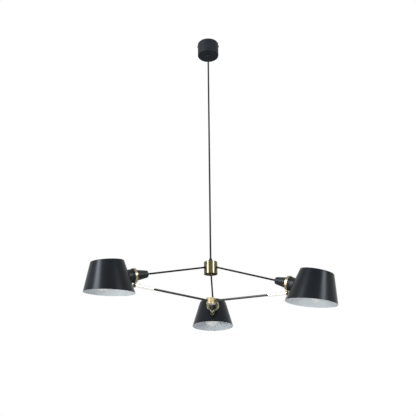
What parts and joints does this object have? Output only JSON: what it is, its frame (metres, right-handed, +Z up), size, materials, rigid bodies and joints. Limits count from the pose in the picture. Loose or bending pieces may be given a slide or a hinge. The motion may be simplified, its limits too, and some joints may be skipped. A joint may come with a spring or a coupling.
{
  "type": "chandelier",
  "caption": "Cord-hung chandelier: ceiling canopy, suspension cord, brass hubs, and a star of slim black tubes that spreads conical black shades on swivelling lampholders",
  "frame": {"origin": "centre of the ceiling face of the mounting bracket, midway between the two screw slots", "axes": "+Z points up into the ceiling, +X to the right-hand lamp, +Y to the rear lamp"},
  "size_m": [0.8264, 0.7385, 1.1625],
  "materials": {
    "black_paint": "satin black paint",
    "shade_paint": "charcoal satin paint outside, white enamel inside",
    "black_plastic": "fine matt black moulding",
    "ivory_plastic": "ivory moulding",
    "cord": "matt black sheath",
    "old_brass": "dark antique brass, brushed",
    "gold_brass": "bright brass",
    "pale_brass": "polished pale brass",
    "steel": "zinc-plated steel",
    "opal_glass": "opal, satin"
  },
  "bodies": {
    "ceiling": {"ceiling_bracket": "steel", "canopy_cup": "black_paint", "canopy_side_screws": "black_paint", "terminal_block": "ivory_plastic", "cord_grip": "black_plastic", "cord_grip_nut": "steel", "canopy_cord_tail": "cord"},
    "cord": {"main_cord": "cord"},
    "frame": {"hub_gland": "black_plastic", "hub_gland_nut": "steel", "hub_shell": "old_brass", "hub_floor": "old_brass", "hub_cord_bushes": "black_plastic", "wire_splice": "ivory_plastic", "lower_hub": "gold_brass", "lower_hub_cover": "gold_brass", "tube_grub_screws": "steel", "left_arm_tube": "black_paint", "left_arm_rod": "pale_brass", "left_arm_screw": "gold_brass", "left_ring_plate": "gold_brass", "left_branch_cord": "cord", "right_arm_tube": "black_paint", "right_arm_rod": "pale_brass", "right_arm_screw": "gold_brass", "right_ring_plate": "gold_brass", "right_branch_cord": "cord", "rear_arm_tube": "black_paint", "rear_arm_rod": "pale_brass", "rear_arm_screw": "gold_brass", "rear_ring_plate": "gold_brass", "rear_branch_cord": "cord"},
    "left_head": {"left_holder_cap": "black_plastic", "left_holder_body": "black_plastic", "left_ring_nut": "black_plastic", "left_shade_saddle": "black_plastic", "left_shade": "shade_paint", "left_shade_clamp": "black_plastic", "left_screw_shell": "gold_brass", "left_contact_base": "ivory_plastic", "left_bulb": "opal_glass"},
    "right_head": {"right_holder_cap": "black_plastic", "right_holder_body": "black_plastic", "right_ring_nut": "black_plastic", "right_shade_saddle": "black_plastic", "right_shade": "shade_paint", "right_shade_clamp": "black_plastic", "right_screw_shell": "gold_brass", "right_contact_base": "ivory_plastic", "right_bulb": "opal_glass"},
    "rear_head": {"rear_holder_cap": "black_plastic", "rear_holder_body": "black_plastic", "rear_ring_nut": "black_plastic", "rear_shade_saddle": "black_plastic", "rear_shade": "shade_paint", "rear_shade_clamp": "black_plastic", "rear_screw_shell": "gold_brass", "rear_contact_base": "ivory_plastic", "rear_bulb": "opal_glass"}
  },
  "joints": [
    {"name": "pendant_swing", "type": "hinge", "parent": "ceiling", "child": "cord", "pos_m": [0, 0, -0.058], "axis": [0, 1, 0], "range_deg": [-10, 10]},
    {"name": "frame_turn", "type": "hinge", "parent": "cord", "child": "frame", "pos_m": [0, 0, -0.9575], "axis": [0, 0, 1], "range_deg": [-180, 180]},
    {"name": "left_head_swivel", "type": "hinge", "parent": "frame", "child": "left_head", "pos_m": [-0.25686, -0.15025, -1.04195], "axis": [0.8491, 0.4808, 0.2186], "range_deg": [-90, 90]},
    {"name": "right_head_swivel", "type": "hinge", "parent": "frame", "child": "right_head", "pos_m": [0.26248, -0.15025, -1.07644], "axis": [-0.8128, 0.4808, 0.3289], "range_deg": [-90, 90]},
    {"name": "rear_head_swivel", "type": "hinge", "parent": "frame", "child": "rear_head", "pos_m": [0.00281, 0.3005, -1.05919], "axis": [0.0182, -0.9616, 0.2737], "range_deg": [-90, 90]}
  ]
}
